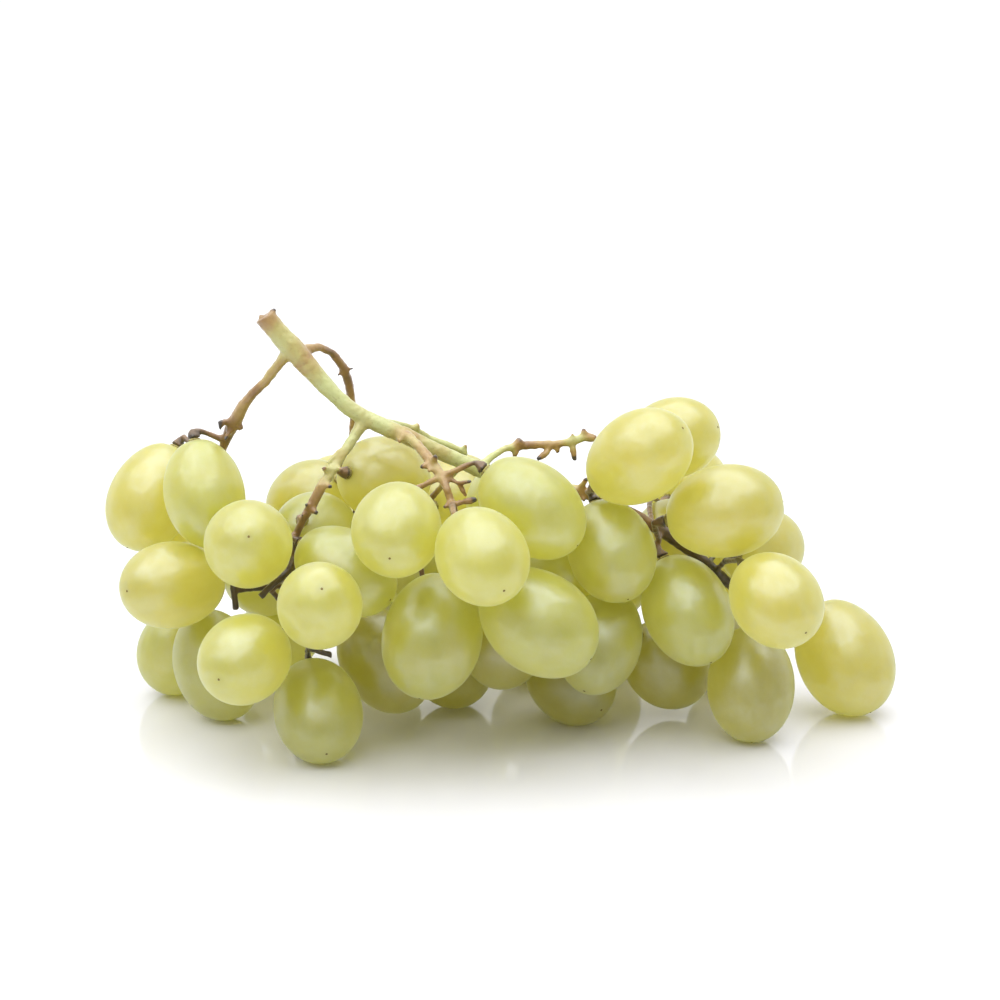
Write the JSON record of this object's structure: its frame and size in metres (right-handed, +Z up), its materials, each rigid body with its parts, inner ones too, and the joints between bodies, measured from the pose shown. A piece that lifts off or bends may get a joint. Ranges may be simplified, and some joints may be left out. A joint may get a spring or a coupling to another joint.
{
  "type": "bunch of grapes",
  "caption": "Bunch of white table grapes lying on its side: egg-shaped berries on a branching green and brown stalk with a cut end.",
  "frame": {"origin": "on the table under the middle of the bunch", "axes": "+X along the bunch from the cut end of the stalk to its tip, +Y towards the back of the bunch, +Z up from the table"},
  "size_m": [0.2006, 0.1222, 0.1066],
  "materials": {
    "skin_green": "waxy translucent pale green grape skin with a thin bloom",
    "skin_gold": "waxy translucent golden green grape skin with a thin bloom",
    "stalk": "green herbaceous stalk drying to brown at its nodes and thin ends"
  },
  "bodies": {
    "root": {"stalk": "stalk", "left_berry_1": "skin_gold", "left_berry_2": "skin_green", "left_berry_3": "skin_green", "left_berry_4": "skin_gold", "left_berry_5": "skin_green", "left_berry_6": "skin_green", "left_berry_7": "skin_gold", "left_berry_8": "skin_gold", "left_berry_9": "skin_green", "middle_berry_1": "skin_gold", "middle_berry_2": "skin_green", "middle_berry_3": "skin_green", "middle_berry_4": "skin_gold", "middle_berry_5": "skin_green", "middle_berry_6": "skin_gold", "middle_berry_7": "skin_green", "middle_berry_8": "skin_green", "middle_berry_9": "skin_green", "middle_berry_10": "skin_green", "middle_berry_11": "skin_green", "middle_berry_12": "skin_green", "middle_berry_13": "skin_green", "middle_berry_14": "skin_green", "middle_berry_15": "skin_green", "middle_berry_16": "skin_green", "middle_berry_17": "skin_green", "middle_berry_18": "skin_green", "middle_berry_19": "skin_green", "right_berry_1": "skin_gold", "right_berry_2": "skin_gold", "right_berry_3": "skin_gold", "right_berry_4": "skin_gold", "right_berry_5": "skin_gold", "right_berry_6": "skin_gold", "right_berry_7": "skin_green", "right_berry_8": "skin_green", "right_berry_9": "skin_green", "right_berry_10": "skin_gold", "right_berry_11": "skin_gold", "right_berry_12": "skin_green", "back_berry_1": "skin_green", "back_berry_2": "skin_green", "back_berry_3": "skin_gold", "back_berry_4": "skin_green", "back_berry_5": "skin_green", "back_berry_6": "skin_green", "back_berry_7": "skin_green", "back_berry_8": "skin_gold", "back_berry_9": "skin_green", "back_berry_10": "skin_green", "back_berry_11": "skin_green", "back_berry_12": "skin_gold", "back_berry_13": "skin_green", "back_berry_14": "skin_green", "back_berry_15": "skin_gold"}
  },
  "joints": []
}
